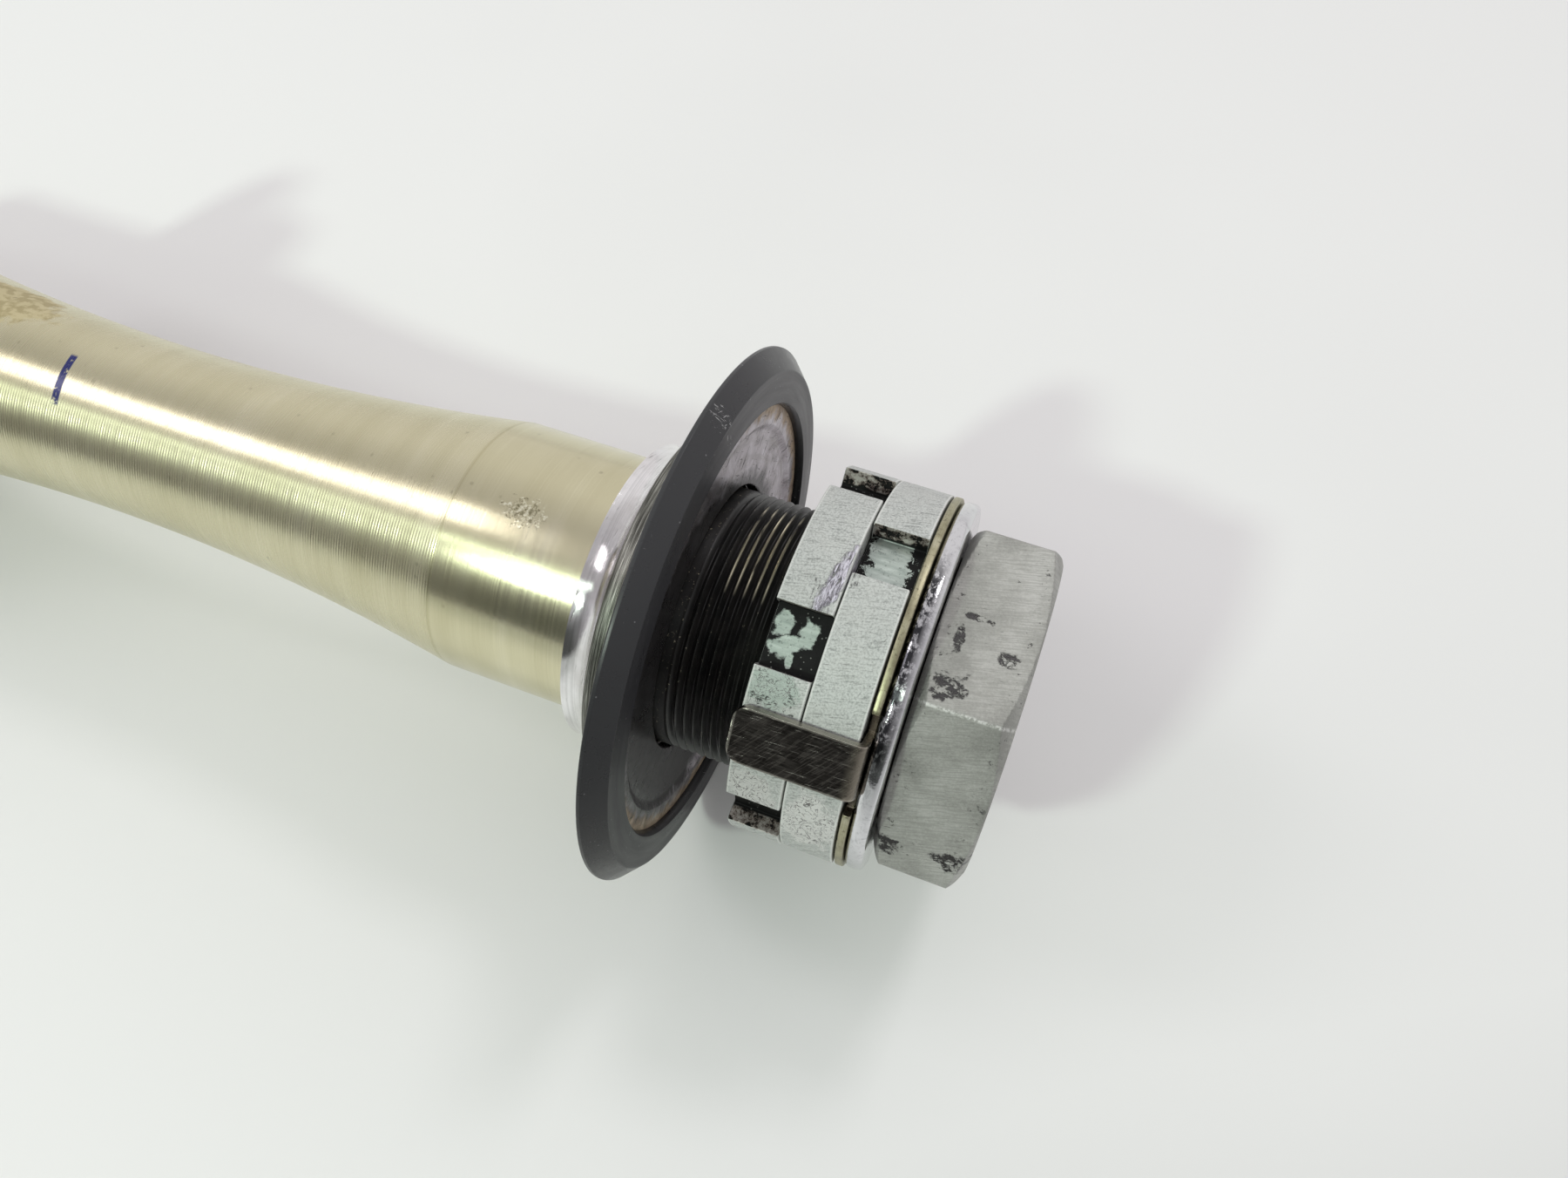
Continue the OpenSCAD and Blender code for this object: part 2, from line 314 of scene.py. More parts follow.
class Look:
    """One material. Values are in millimetres, from the object's own coordinates."""

    def __init__(self, name, **values):
        self.material = bpy.data.materials.new(name)
        self.material.use_nodes = True
        self.tree = self.material.node_tree
        self.bsdf = self.tree.nodes["Principled BSDF"]
        for socket, value in values.items():
            self.bsdf.inputs[socket.replace("_", " ")].default_value = value
        place = self.add("TexCoord", output="Object")
        self.place = self.add("VectorMath", {0: place, 1: (1000, 1000, 1000)},
                              operation="MULTIPLY")
        split = self.node("SeparateXYZ", {0: self.place})
        self.x, self.y, self.z = split.outputs
        self.r = self.math("SQRT", self.math("ADD", self.math("MULTIPLY", self.y, self.y),
                                             self.math("MULTIPLY", self.z, self.z)))

    def node(self, kind, inputs=(), **settings):
        return add_node(self.tree, kind, inputs, **settings)

    def add(self, kind, inputs=(), output=0, **settings):
        """The output socket of a new node."""
        return self.node(kind, inputs, **settings).outputs[output]

    def math(self, operation, a, b=0.0, c=0.0, clamp=False):
        return self.add("Math", {0: a, 1: b, 2: c}, operation=operation, use_clamp=clamp)

    def streaks(self, along, across, swirl, seed=0.0):
        """Coordinates that change fast along the axis and slowly round it."""
        return self.add("CombineXYZ", {
            0: self.math("ADD", self.math("MULTIPLY", self.x, along),
                         self.math("MULTIPLY_ADD", self.r, across, seed)),
            1: self.math("MULTIPLY", self.math("DIVIDE", self.y, self.r), swirl),
            2: self.math("MULTIPLY", self.math("DIVIDE", self.z, self.r), swirl)})

    def stretched(self, sx, sy, sz, seed=0.0):
        """The place scaled along each axis, moved by a seed."""
        moved = self.add("VectorMath", {0: self.place, 1: (sx, sy, sz)}, operation="MULTIPLY")
        return self.add("VectorMath", {0: moved, 1: (seed, seed * 0.7, -seed)}, operation="ADD")

    def noise(self, scale=1.0, vector=None, detail=4.0, rough=0.55, warp=0.0):
        return self.add("TexNoise", {"Vector": vector or self.place, "Scale": scale,
                                     "Detail": detail, "Roughness": rough,
                                     "Distortion": warp})

    def cells(self, scale, vector=None, feature="F1", spread=1.0):
        return self.add("TexVoronoi", {"Vector": vector or self.place, "Scale": scale,
                                       "Randomness": spread}, feature=feature)

    def fit(self, value, low, high, to_low=0.0, to_high=1.0):
        """A value's range fitted to another one and kept inside it."""
        return self.add("MapRange", {"Value": value, "From Min": low, "From Max": high,
                                     "To Min": to_low, "To Max": to_high})

    def ramp(self, value, *stops):
        """A colour from stops, each (position, colour)."""
        node = self.node("ValToRGB", {0: value})
        elements = node.color_ramp.elements
        while len(elements) < len(stops):
            elements.new(0.5)
        for element, (position, colour) in zip(elements, stops):
            element.position = position
            element.color = (*colour, 1)
        return node.outputs[0]

    def mix(self, share, a, b):
        """Colour a, with a share of colour b."""
        a, b = [(*v, 1) if isinstance(v, tuple) and len(v) == 3 else v for v in (a, b)]
        return self.add("Mix", {0: share, 6: a, 7: b}, output=2, data_type="RGBA")

    def blend(self, share, a, b):
        """Number a, with a share of number b."""
        return self.add("Mix", {0: share, 2: a, 3: b}, data_type="FLOAT")

    def both(self, a, b):
        return self.math("MULTIPLY", a, b)

    def either(self, a, b):
        return self.math("MAXIMUM", a, b)

    def flip(self, a):
        return self.math("SUBTRACT", 1.0, a)

    def near(self, value, centre, half, soft):
        """1 where value is within half of centre, falling to 0 over soft."""
        away = self.math("ABSOLUTE", self.math("SUBTRACT", value, centre))
        return self.fit(away, half + soft, half)

    def beyond(self, value, edge, soft):
        """1 where value is past an edge."""
        return self.fit(value, edge - soft, edge + soft)

    def sideways(self, angle):
        """Distance across the line at an angle round the axis, and 1 on that side of it."""
        c, s = math.cos(math.radians(angle)), math.sin(math.radians(angle))
        across = self.math("SUBTRACT", self.math("MULTIPLY", self.y, c),
                           self.math("MULTIPLY", self.z, s))
        out = self.math("ADD", self.math("MULTIPLY", self.y, s),
                        self.math("MULTIPLY", self.z, c))
        return across, self.beyond(out, 1.0, 1.0)

    def patch(self, x, angle, half_x, half_across, ragged=0.5, scale=0.8, seed=0.0, lean=0.0):
        """A blot with a ragged edge, centred at x and at an angle. Lean slants it."""
        across, side = self.sideways(angle)
        middle = self.math("MULTIPLY_ADD", across, lean, x)
        dx = self.math("DIVIDE", self.math("SUBTRACT", self.x, middle), half_x)
        dy = self.math("DIVIDE", across, half_across)
        away = self.math("SQRT", self.math("ADD", self.both(dx, dx), self.both(dy, dy)))
        wobble = self.math("MULTIPLY", self.math("SUBTRACT", self.noise(
            scale, self.stretched(1, 1, 1, seed), 5, 0.6), 0.5), ragged * 3)
        return self.both(self.fit(self.math("ADD", away, wobble), 1.1, 0.85), side)

    def hairlines(self, along, over, length, width, share, seed=0.0):
        """Fine straight scratches that run along one direction of the surface."""
        dots = [self.node("VectorMath", {0: self.place, 1: way}, operation="DOT_PRODUCT")
                for way in (along, over)]
        vector = self.add("CombineXYZ", {0: self.math("DIVIDE", dots[0].outputs[1], length),
                                         1: self.math("DIVIDE", dots[1].outputs[1], width),
                                         2: seed})
        lines = self.noise(1.0, vector, 2.5, 0.6)
        return self.fit(lines, 1 - share, 1.05 - share)

    def out(self, **links):
        """Links sockets to the shader and gives the material."""
        for socket, value in links.items():
            self.tree.links.new(value, self.bsdf.inputs[socket.replace("_", " ")])
        return self.material

    def bump(self, *layers):
        """Height layers, each (height socket, depth in millimetres), on the normal."""
        normal = None
        for height, depth in layers:
            inputs = {"Height": height, "Distance": depth * MM, "Strength": 1.0}
            if normal:
                inputs["Normal"] = normal
            normal = self.add("Bump", inputs)
        self.tree.links.new(normal, self.bsdf.inputs["Normal"])


def stem_look():
    look = Look("stem_champagne_anodised", Anisotropic_Rotation=0.25)
    tangent = look.add("Tangent", direction_type="RADIAL", axis="X")
    fine = look.noise(1.0, look.streaks(9.0, 0.5, 0.8), 3, 0.6)
    broad = look.noise(1.0, look.streaks(0.35, 0.0, 0.5, 7.0), 2, 0.5)
    cloud = look.noise(0.09, detail=3)
    base = look.ramp(look.math("MULTIPLY_ADD", cloud, 0.5, look.both(broad, 0.5)),
                     (0.3, (0.60, 0.56, 0.375)), (0.55, (0.67, 0.63, 0.44)),
                     (0.75, (0.74, 0.70, 0.52)))
    base = look.mix(look.fit(fine, 0.35, 0.75, 0.0, 0.22), base, (0.50, 0.46, 0.28))
    waist = look.both(look.beyond(look.x, WAIST_FROM, 0.05),
                      look.flip(look.beyond(look.x, WAIST_TO, 0.05)))
    base = look.mix(look.both(look.near(look.x, WAIST_TO, 0.05, 0.25), 0.35), base,
                    (0.40, 0.36, 0.20))
    # adhesive residue, a marker stroke and dirt on the tube
    glue = look.patch(RIM - 95.5, 26, 7.5, 4.2, 0.55, 0.35, 2.0)
    rim = look.both(glue, look.flip(look.fit(look.noise(0.9, detail=4), 0.42, 0.55)))
    base = look.mix(look.both(glue, 0.6), base, (0.52, 0.43, 0.22))
    base = look.mix(look.both(rim, 0.45), base, (0.25, 0.19, 0.07))
    across, side = look.sideways(-16)
    slant = look.math("MULTIPLY_ADD", across, 0.14, look.math("SUBTRACT", look.x, RIM - 80.6))
    stroke = look.both(look.both(look.near(slant, 0, 0.42, 0.12),
                                 look.near(across, 0, 3.0, 0.35)), side)
    stroke = look.both(stroke, look.fit(look.noise(1.6, detail=3), 0.3, 0.42))
    base = look.mix(stroke, base, (0.012, 0.018, 0.13))
    smear = look.patch(RIM - 18.6, -12, 2.3, 1.5, 1.1, 1.2, 5.0)
    flecks = look.noise(2.2, detail=5, rough=0.8)
    dirt = look.both(smear, look.fit(flecks, 0.53, 0.57))
    base = look.mix(look.both(smear, look.fit(flecks, 0.48, 0.42)), base, (0.95, 0.93, 0.72))
    base = look.mix(look.both(dirt, 0.75), base, (0.13, 0.11, 0.06))
    specks = look.fit(look.cells(0.33, look.stretched(1, 1, 1, 11)), 0.10, 0.05)
    base = look.mix(look.both(specks, 0.30), base, (0.22, 0.20, 0.13))
    # grease in the thread, with a few bright crests
    thread = look.beyond(look.x, RIM - 0.4, 0.3)
    depth = look.math("SUBTRACT", SEAT_R, look.r)
    crest = look.fit(depth, 0.16, 0.03)
    across, side = look.sideways(8)
    worn = look.both(look.both(look.near(across, 0, 4.0, 2.5), side), crest)
    worn = look.both(worn, look.near(look.x, RIM + 6.6, 2.2, 0.6))
    worn = look.both(worn, look.fit(look.noise(
        1.0, look.streaks(1.6, 0.0, 2.0, 3.0), 4), 0.36, 0.46))
    sparkle = look.both(crest, look.fit(look.noise(2.4, detail=5, rough=0.75), 0.62, 0.69))
    grease = look.ramp(look.noise(0.5, detail=4), (0.35, (0.004, 0.004, 0.004)),
                       (0.7, (0.016, 0.014, 0.013)))
    bright = look.either(worn, look.both(sparkle, 0.8))
    threaded = look.mix(bright, grease, (0.78, 0.72, 0.54))
    inside = look.flip(look.beyond(look.r, WAIST_R - 0.6, 0.1))
    greasy = look.both(thread, look.beyond(look.r, 13.8, 0.2))
    base = look.mix(greasy, base, threaded)
    base = look.mix(look.both(inside, 0.55), base, (0.30, 0.29, 0.25))
    rough = look.fit(fine, 0.3, 0.7, 0.19, 0.27)
    rough = look.math("MULTIPLY_ADD", waist, 0.05, rough)
    rough = look.either(rough, look.both(glue, 0.6))
    rough = look.either(rough, look.both(dirt, 0.7))
    rough = look.blend(greasy, rough, look.blend(bright, 0.42, 0.28))
    metal = look.math("SUBTRACT", 1.0, look.either(look.either(
        look.both(glue, 0.6), look.both(stroke, 0.9)),
        look.both(greasy, look.both(look.flip(bright), 0.9))))
    groove = look.add("TexWave", {"Vector": look.add("CombineXYZ", {0: look.x}),
                                  "Scale": 0.87, "Distortion": 0.0},
                      wave_type="BANDS", bands_direction="X")
    wobble = look.noise(1.0, look.streaks(1.3, 0.0, 0.4, 9.0), 2)
    turned = look.both(look.both(groove, waist), look.fit(wobble, 0.35, 0.7, 0.35, 1.0))
    look.bump((fine, 0.003), (turned, 0.013), (look.noise(0.5, detail=5), 0.012))
    return look.out(Base_Color=base, Roughness=rough, Metallic=metal, Tangent=tangent,
                    Anisotropic=look.blend(waist, 0.4, 0.6))


def race_look():
    look = Look("race_ground_steel", Metallic=1.0, Anisotropic=0.3)
    band = look.beyond(look.r, BAND_R - 0.2, 0.05)
    fine = look.noise(1.0, look.streaks(13.0, 2.0, 3.2), 4, 0.75)
    stain = look.noise(0.22, detail=4)
    polished = look.ramp(stain, (0.35, (0.62, 0.60, 0.595)), (0.65, (0.86, 0.85, 0.86)))
    brushed = look.ramp(fine, (0.36, (0.035, 0.035, 0.03)), (0.5, (0.13, 0.13, 0.115)),
                        (0.62, (0.40, 0.40, 0.36)), (0.72, (0.75, 0.75, 0.70)))
    base = look.mix(band, polished, brushed)
    lines = look.noise(1.0, look.streaks(3.2, 3.2, 0.3, 5.0), 2)
    base = look.mix(look.both(look.flip(band), look.fit(lines, 0.5, 0.7, 0.0, 0.35)), base,
                    (0.40, 0.39, 0.39))
    nick = look.hairlines(*on_side(-20, 80), 2.4, 0.22, 0.36, 2.0)
    base = look.mix(look.both(nick, 0.5), base, (0.08, 0.08, 0.08))
    rough = look.blend(band, look.fit(stain, 0.3, 0.8, 0.07, 0.15),
                       look.fit(fine, 0.3, 0.7, 0.28, 0.45))
    look.bump((fine, 0.008), (look.flip(nick), 0.006), (lines, 0.004))
    return look.out(Base_Color=base, Roughness=rough)


def rubber_look():
    look = Look("seal_rubber", Specular_IOR_Level=0.25)
    front = look.either(look.beyond(look.x, RIM + COVER_FRONT - 0.1, 0.05),
                        look.flip(look.beyond(look.x, LOWER_RIM - COVER_FRONT + 0.1, 0.05)))
    front = look.both(front, look.flip(look.beyond(look.r, 28.7, 0.1)))
    cloud = look.noise(0.25, detail=5, rough=0.65)
    smear = look.noise(1.0, look.streaks(0.8, 0.9, 2.2), 4, 0.6)
    base = look.ramp(cloud, (0.3, (0.0035, 0.0035, 0.0042)), (0.7, (0.009, 0.009, 0.011)))
    grey = look.ramp(smear, (0.3, (0.006, 0.006, 0.007)), (0.7, (0.024, 0.022, 0.027)))
    base = look.mix(front, base, grey)
    # painted light: the rubber turns a lighter grey towards the top (+Z), as if lit from above
    base = look.mix(look.fit(look.z, 4, 28, 0.0, 0.8), base, (0.06, 0.06, 0.064))
    dust = look.fit(look.cells(1.1, look.stretched(1, 1, 1, 3)), 0.12, 0.06)
    dust = look.both(dust, look.fit(look.noise(0.35, detail=3), 0.52, 0.6))
    lint = look.either(look.hairlines(*on_face(40), 1.5, 0.16, 0.275, 4.0),
                       look.hairlines(*on_face(115), 1.2, 0.14, 0.27, 9.0))
    base = look.mix(look.both(look.either(dust, lint), 0.5), base, (0.36, 0.36, 0.37))
    star = look.patch(RIM + 1.2, 9.0, 0.7, 1.0, 1.4, 1.9, 4.0)
    star = look.both(star, look.either(look.hairlines(*on_side(8, 20), 1.2, 0.13, 0.42, 1.0),
                                       look.hairlines(*on_side(8, 75), 1.4, 0.13, 0.4, 5.0)))
    base = look.mix(look.both(star, 0.8), base, (0.55, 0.55, 0.55))
    rough = look.blend(front, look.fit(cloud, 0.3, 0.7, 0.24, 0.34),
                       look.fit(smear, 0.3, 0.7, 0.26, 0.4))
    grain = look.noise(7.0, detail=3, rough=0.7)
    look.bump((grain, 0.004), (smear, 0.012), (look.either(dust, lint), 0.015))
    return look.out(Base_Color=base, Roughness=rough)


def insert_look():
    look = Look("insert_stained_steel")
    cloud = look.noise(0.3, detail=6, rough=0.65, warp=0.6)
    swirl = look.noise(1.0, look.streaks(1.0, 0.8, 1.6, 4.0), 4, 0.6)
    base = look.ramp(cloud, (0.3, (0.17, 0.155, 0.155)), (0.48, (0.42, 0.39, 0.415)),
                     (0.66, (0.62, 0.60, 0.63)))
    base = look.mix(look.fit(swirl, 0.5, 0.68, 0.0, 0.55), base, (0.20, 0.185, 0.17))
    rust = look.ramp(look.noise(0.5, detail=6, rough=0.7), (0.3, (0.12, 0.075, 0.04)),
                     (0.5, (0.40, 0.28, 0.16)), (0.7, (0.66, 0.53, 0.36)))
    ragged = look.math("ADD", look.r, look.fit(look.noise(0.45, detail=5), 0.3, 0.7, -0.8, 0.8))
    stained = look.beyond(ragged, 23.6, 0.5)
    base = look.mix(look.both(stained, 0.8), base, rust)
    scratch = look.either(look.hairlines(*on_face(25), 3.0, 0.55, 0.38, 6.0),
                          look.hairlines(*on_face(-50), 2.6, 0.25, 0.35, 2.0))
    base = look.mix(look.both(scratch, 0.85), base, (0.03, 0.026, 0.025))
    pits = look.fit(look.cells(0.6, look.stretched(1, 1, 1, 4)), 0.12, 0.06)
    base = look.mix(look.both(pits, 0.8), base, (0.05, 0.03, 0.02))
    # soot round the bore, with painted shade: the dark reaches further out towards -Y
    soot_and_shade_reach = look.fit(look.y, 8, -14, 17.2, 23.4)
    ragged = look.math("ADD", look.r, look.fit(cloud, 0.3, 0.7, -1.2, 1.2))
    soot_and_painted_shade = look.fit(look.math("SUBTRACT", ragged, soot_and_shade_reach), 1.0, -1.0)
    base = look.mix(look.both(soot_and_painted_shade, 0.93), base, (0.012, 0.011, 0.011))
    rough = look.blend(stained, look.fit(cloud, 0.3, 0.7, 0.24, 0.38), 0.5)
    metal = look.math("SUBTRACT", 0.95, look.either(look.both(stained, 0.45),
                                                    look.both(soot_and_painted_shade, 0.6)))
    look.bump((cloud, 0.03), (look.flip(scratch), 0.03), (swirl, 0.01))
    return look.out(Base_Color=base, Roughness=rough, Metallic=metal)


def ring_nut_look():
    look = Look("ring_nut_grainy_satin", Metallic=0.25, Specular_IOR_Level=0.3)
    brushed = look.hairlines(*on_side(-20, 14), 2.2, 0.16, 0.6, 6.0)
    grain = look.math("MULTIPLY_ADD", brushed, 0.16, look.noise(5.0, detail=3, rough=0.65))
    broad = look.noise(0.3, detail=3)
    base = look.ramp(grain, (0.36, (0.25, 0.265, 0.255)), (0.52, (0.39, 0.405, 0.39)),
                     (0.72, (0.60, 0.62, 0.60)))
    base = look.mix(look.fit(broad, 0.4, 0.7, 0.0, 0.35), base, (0.60, 0.61, 0.58))
    scratch = look.either(look.hairlines(*on_side(-20, 12), 3.2, 0.16, 0.335, 2.0),
                          look.hairlines(*on_side(-20, 70), 1.8, 0.2, 0.31, 5.0))
    base = look.mix(look.both(scratch, 0.6), base, (0.09, 0.09, 0.09))
    low = span("lower_ring_nut")[0]
    # a spanner's gouge on the lower nut, and flecks of paint
    gouge = look.patch(low + 4.9, -8, 0.95, 4.0, 0.6, 0.8, 3.0, 0.22)
    torn = look.noise(1.3, look.stretched(2.4, 0.5, 0.5, 4), 6, 0.75, 1.2)
    gouged = look.both(gouge, look.fit(torn, 0.36, 0.42))
    gouged = look.both(gouged, look.flip(look.beyond(look.x, low + 5.75, 0.05)))
    fringe = look.both(look.patch(low + 4.9, -8, 1.5, 5.2, 0.9, 0.8, 3.0, 0.22), look.fit(
        look.noise(1.1, look.stretched(2.4, 0.6, 0.6, 8), 6, 0.8), 0.52, 0.57))
    base = look.mix(look.both(fringe, 0.8), base, (0.05, 0.045, 0.05))
    base = look.mix(gouged, base, look.ramp(torn, (0.42, (0.05, 0.045, 0.05)),
                                            (0.49, (0.50, 0.47, 0.55)),
                                            (0.58, (0.90, 0.87, 0.97))))
    for x, angle, half_x, half_across, pale in ((2.4, -40, 2.4, 2.0, (0.40, 0.48, 0.43)),
                                                (8.5, -79, 3.4, 4.6, (0.80, 0.79, 0.77)),
                                                (2.4, -73, 2.6, 2.4, (0.68, 0.67, 0.65))):
        rubbed = look.patch(low + x, angle, half_x, half_across, 0.7, 0.6, x)
        curls = look.noise(0.7, look.stretched(1, 1, 1, x), 3, 0.5, 2.5)
        base = look.mix(look.both(rubbed, 0.65), base, pale)
        base = look.mix(look.both(rubbed, look.near(curls, 0.5, 0.010, 0.012)), base,
                        (0.16, 0.15, 0.15))
    paint = look.patch(low + 2.5, -45, 2.6, 2.8, 1.0, 0.6, 6.0)
    flecks = look.math("ADD", look.noise(1.5, detail=6, rough=0.75), look.both(paint, 0.1))
    flecks = look.fit(flecks, 0.655, 0.70)
    base = look.mix(look.both(flecks, 0.85), base, (0.03, 0.03, 0.03))
    for edge in [e for node in ("lower_ring_nut", "upper_ring_nut") for e in span(node)[:2]]:
        shine = look.both(look.near(look.x, edge, 0.16, 0.1), look.beyond(look.r, 20.4, 0.1))
        base = look.mix(look.both(shine, 0.6), base, (0.82, 0.83, 0.80))
    thread = look.flip(look.beyond(look.r, 15.6, 0.2))
    base = look.mix(thread, base, (0.03, 0.028, 0.025))
    rough = look.fit(grain, 0.3, 0.7, 0.5, 0.62)
    rough = look.blend(gouged, rough, 0.36)
    look.bump((grain, 0.018), (look.flip(scratch), 0.02), (look.both(gouge, torn), 0.25))
    return look.out(Base_Color=base, Roughness=rough)


def slot_look(name, bare_x, bare_half, splats=()):
    """Black paint in a ring nut's slots, worn off a band and blots of the floor."""
    look = Look(name, Specular_IOR_Level=0.2)
    cloud = look.noise(0.8, detail=5, rough=0.65)
    paint = look.ramp(cloud, (0.3, (0.002, 0.002, 0.002)), (0.75, (0.010, 0.010, 0.010)))
    on_floor = look.flip(look.beyond(look.r, 18.86, 0.06))
    fray = look.fit(look.noise(0.7, detail=6, rough=0.75, warp=0.5), 0.3, 0.7, -1.3, 1.3)
    away = look.math("ABSOLUTE", look.math("SUBTRACT", look.x, RIM + bare_x))
    bare = look.both(look.fit(look.math("ADD", away, fray), bare_half + 0.08, bare_half),
                     on_floor)
    for dx, turn, half_x, half_across in splats:
        blot = look.patch(RIM + bare_x + dx, LOWER_SLOTS + turn, half_x, half_across, 0.6,
                          0.9, dx)
        bare = look.either(bare, look.both(blot, on_floor))
    clean = look.ramp(look.noise(1.0, look.stretched(0.5, 2.0, 2.0), 4),
                      (0.3, (0.30, 0.35, 0.32)), (0.7, (0.50, 0.56, 0.52)))
    clean = look.mix(look.fit(look.noise(2.6, detail=5, rough=0.75), 0.56, 0.66, 0.0, 0.7),
                     clean, (0.08, 0.09, 0.085))
    rubbed = look.noise(0.9, detail=6, rough=0.75)
    wall = look.both(look.beyond(look.r, 19.2, 0.15), look.fit(rubbed, 0.46, 0.50))
    worn = look.ramp(rubbed, (0.48, (0.20, 0.15, 0.13)), (0.6, (0.62, 0.58, 0.55)))
    base = look.mix(wall, look.mix(bare, paint, clean), worn)
    bare = look.either(bare, wall)
    specks = look.fit(look.cells(1.9, look.stretched(1, 1, 1, 6)), 0.17, 0.10)
    base = look.mix(look.both(specks, 0.35), base, (0.55, 0.57, 0.53))
    rough = look.blend(bare, 0.6, 0.42)
    look.bump((cloud, 0.03), (look.flip(bare), 0.03))
    return look.out(Base_Color=base, Roughness=rough, Metallic=look.both(bare, 0.6))


def lock_washer_look():
    look = Look("lock_washer_yellow_zinc", Metallic=1.0)
    fine = look.noise(1.0, look.streaks(14.0, 1.0, 4.0), 3, 0.6)
    cloud = look.noise(0.5, detail=4)
    base = look.ramp(cloud, (0.3, (0.28, 0.26, 0.17)), (0.55, (0.43, 0.41, 0.28)),
                     (0.75, (0.56, 0.54, 0.41)))
    base = look.mix(look.fit(fine, 0.5, 0.7, 0.0, 0.5), base, (0.20, 0.17, 0.10))
    base = look.mix(look.fit(look.noise(2.5, detail=5, rough=0.75), 0.56, 0.64, 0.0, 0.7),
                    base, (0.10, 0.09, 0.06))
    rough = look.fit(cloud, 0.3, 0.7, 0.34, 0.5)
    look.bump((fine, 0.006), (cloud, 0.02))
    return look.out(Base_Color=base, Roughness=rough)


def claw_look():
    look = Look("claw_dark_brushed_steel", Metallic=1.0, Anisotropic=0.35)
    lines = look.hairlines(*on_side(CLAW_ANGLE, 52), 2.6, 0.17, 0.46, 1.0)
    cross = look.hairlines(*on_side(CLAW_ANGLE, 4), 4.0, 0.14, 0.36, 7.0)
    grain = look.noise(1.0, look.stretched(0.5, 5.0, 5.0, 3), 4, 0.65)
    cloud = look.noise(0.4, detail=4)
    base = look.ramp(look.math("MULTIPLY_ADD", grain, 0.5, look.both(cloud, 0.5)),
                     (0.36, (0.035, 0.031, 0.028)), (0.52, (0.075, 0.067, 0.062)),
                     (0.7, (0.15, 0.135, 0.125)))
    base = look.mix(look.both(lines, 0.4), base, (0.24, 0.22, 0.20))
    base = look.mix(look.both(cross, 0.5), base, (0.40, 0.38, 0.36))
    across, _ = look.sideways(CLAW_ANGLE)
    edge = look.either(look.near(look.math("ABSOLUTE", across), CLAW_W / 2, 0.13, 0.1),
                       look.near(look.x, RIM + 10.5, 0.2, 0.12))
    base = look.mix(look.both(edge, 0.8), base, (0.50, 0.47, 0.42))
    bend = look.beyond(look.x, RIM + 22.2, 0.4)
    base = look.mix(look.both(bend, 0.6), base, (0.36, 0.32, 0.26))
    rough = look.fit(grain, 0.3, 0.7, 0.24, 0.36)
    look.bump((lines, 0.004), (cross, 0.006), (grain, 0.006), (cloud, 0.03))
    return look.out(Base_Color=base, Roughness=rough)


def chrome_look():
    look = Look("chrome_bright", Metallic=1.0)
    fine = look.noise(1.0, look.streaks(2.0, 2.0, 26.0), 4, 0.75)
    cloud = look.noise(0.35, detail=4)
    spots = look.fit(look.cells(1.2, look.stretched(1, 1, 1, 2)), 0.12, 0.06)
    spots = look.both(spots, look.fit(look.noise(0.5), 0.5, 0.6))
    base = look.mix(look.fit(fine, 0.52, 0.7, 0.0, 0.55), (0.70, 0.70, 0.72),
                    (0.28, 0.28, 0.30))
    base = look.mix(look.both(spots, 0.7), base, (0.12, 0.10, 0.09))
    # painted reflection: a mottled dark band on the rim's side at -24 degrees, as if it mirrored
    # something dark
    across, side = look.sideways(-24)
    painted_dark_reflection = look.both(look.near(across, 0, 8.5, 4.0), side)
    painted_dark_reflection = look.both(painted_dark_reflection, look.flip(look.beyond(look.x, RIM + 24.9, 0.4)))
    mottle = look.noise(1.0, look.streaks(1.3, 1.3, 18.0, 2.0), 5, 0.75)
    painted_dark_reflection = look.both(painted_dark_reflection, look.fit(mottle, 0.40, 0.50))
    base = look.mix(look.both(painted_dark_reflection, 0.95), base, (0.02, 0.02, 0.025))
    rough = look.fit(cloud, 0.3, 0.75, 0.06, 0.16)
    look.bump((fine, 0.012), (cloud, 0.06))
    return look.out(Base_Color=base, Roughness=rough)


